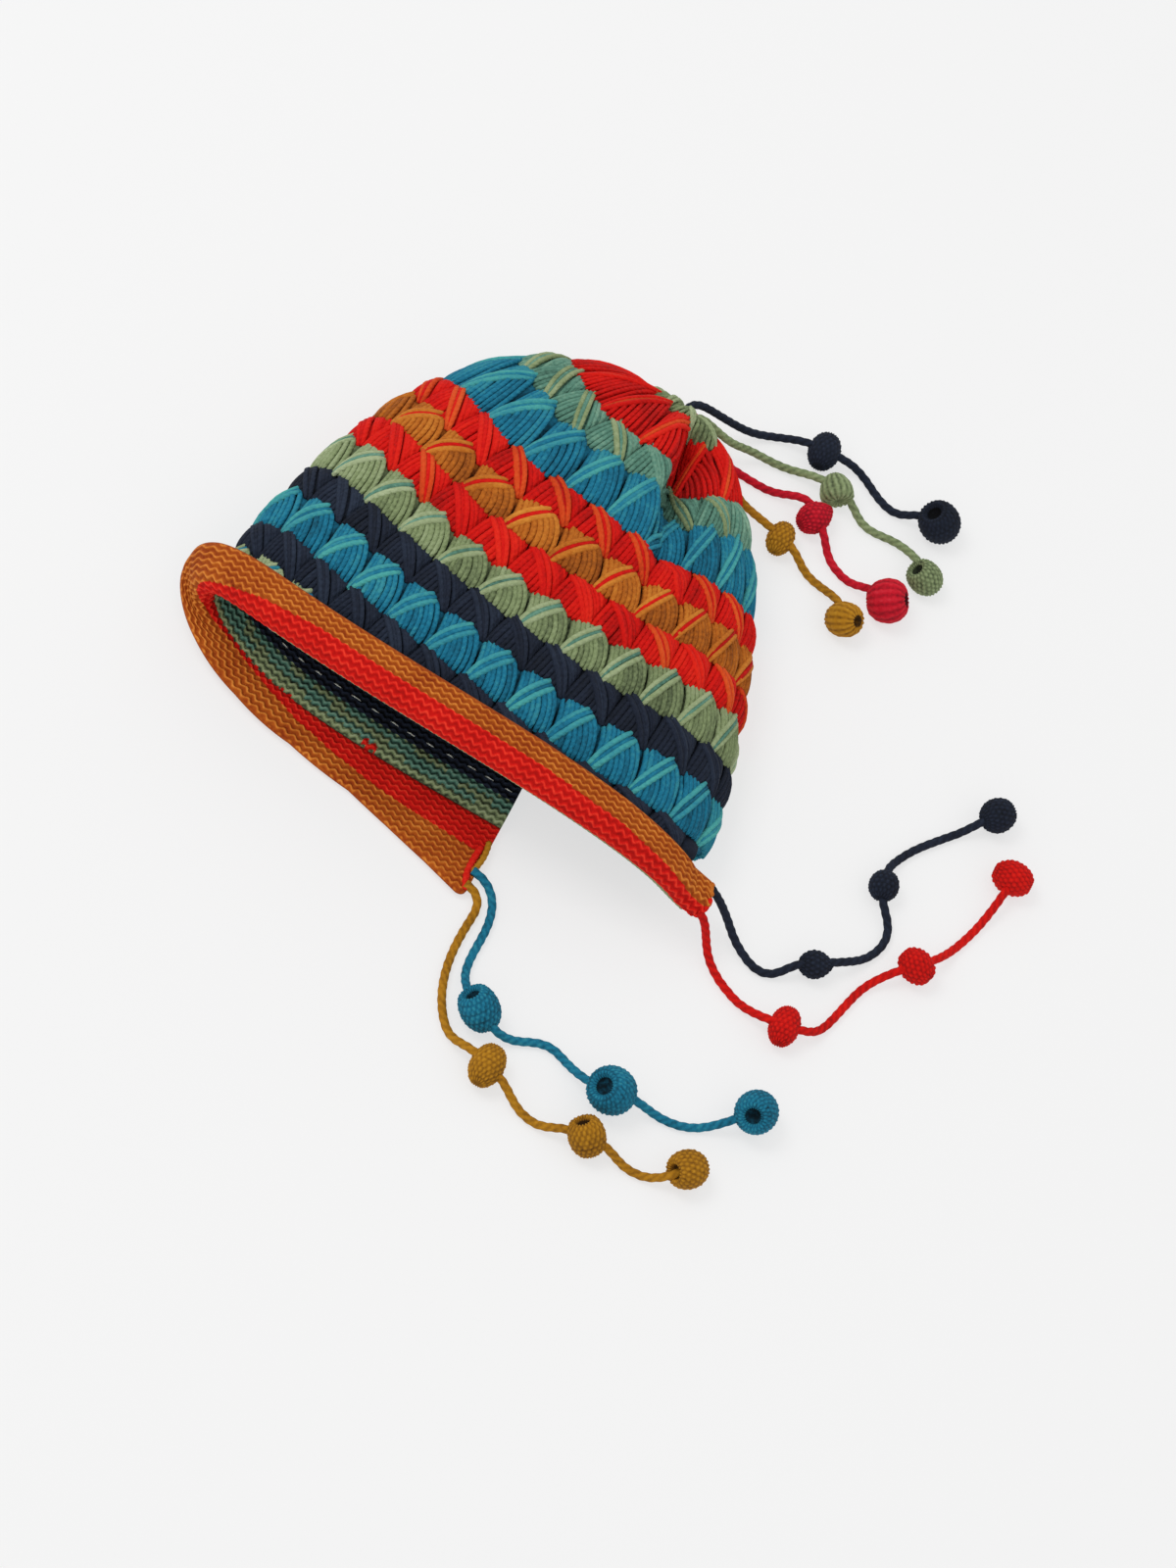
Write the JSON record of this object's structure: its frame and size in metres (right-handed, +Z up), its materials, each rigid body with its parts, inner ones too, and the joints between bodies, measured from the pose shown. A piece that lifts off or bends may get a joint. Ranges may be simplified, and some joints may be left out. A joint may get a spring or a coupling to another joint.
{
  "type": "knitted ear-flap hat",
  "caption": "Andean chullo hat in rows of knitted puffs, lying on its side: a hollow crown, an ear band turned up on one layer, and corded bobbles at the tip and at both ends of the band.",
  "frame": {"origin": "centre of the footprint of the crown and the ear band, on the surface that the hat lies on", "axes": "+X across the folded hat, towards the ends of the band with the navy and red ties; +Y towards the tip of the crown, with the mouth towards -Y; +Z up from the surface"},
  "size_m": [0.3835, 0.3737, 0.062],
  "materials": {
    "crown_wool": "knitted wool in rows of puffs, variegated in sage, navy, teal, red and ochre",
    "band_wool": "knitted wool showing its purl side, a red stripe and an ochre edge stripe",
    "navy_wool": "crocheted wool, dark navy",
    "sage_wool": "crocheted wool, sage green, flecked",
    "crimson_wool": "crocheted wool, crimson",
    "red_wool": "crocheted wool, scarlet",
    "teal_wool": "crocheted wool, teal blue",
    "mustard_wool": "crocheted wool, mustard"
  },
  "bodies": {
    "root": {"crown": "crown_wool", "ear_band": "band_wool", "top_cord_navy_1": "navy_wool", "top_cord_navy_2": "navy_wool", "top_bobble_navy_1": "navy_wool", "top_bobble_navy_2": "navy_wool", "top_cord_sage_1": "sage_wool", "top_cord_sage_2": "sage_wool", "top_bobble_sage_1": "sage_wool", "top_bobble_sage_2": "sage_wool", "top_cord_red_1": "crimson_wool", "top_cord_red_2": "crimson_wool", "top_bobble_red_1": "crimson_wool", "top_bobble_red_2": "crimson_wool", "top_cord_mustard_1": "mustard_wool", "top_cord_mustard_2": "mustard_wool", "top_bobble_mustard_1": "mustard_wool", "top_bobble_mustard_2": "mustard_wool", "tie_cord_navy_1": "navy_wool", "tie_cord_navy_2": "navy_wool", "tie_cord_navy_3": "navy_wool", "tie_bobble_navy_1": "navy_wool", "tie_bobble_navy_2": "navy_wool", "tie_bobble_navy_3": "navy_wool", "tie_cord_red_1": "red_wool", "tie_cord_red_2": "red_wool", "tie_cord_red_3": "red_wool", "tie_bobble_red_1": "red_wool", "tie_bobble_red_2": "red_wool", "tie_bobble_red_3": "red_wool", "tie_cord_teal_1": "teal_wool", "tie_cord_teal_2": "teal_wool", "tie_cord_teal_3": "teal_wool", "tie_bobble_teal_1": "teal_wool", "tie_bobble_teal_2": "teal_wool", "tie_bobble_teal_3": "teal_wool", "tie_cord_mustard_1": "mustard_wool", "tie_cord_mustard_2": "mustard_wool", "tie_cord_mustard_3": "mustard_wool", "tie_bobble_mustard_1": "mustard_wool", "tie_bobble_mustard_2": "mustard_wool", "tie_bobble_mustard_3": "mustard_wool"}
  },
  "joints": []
}
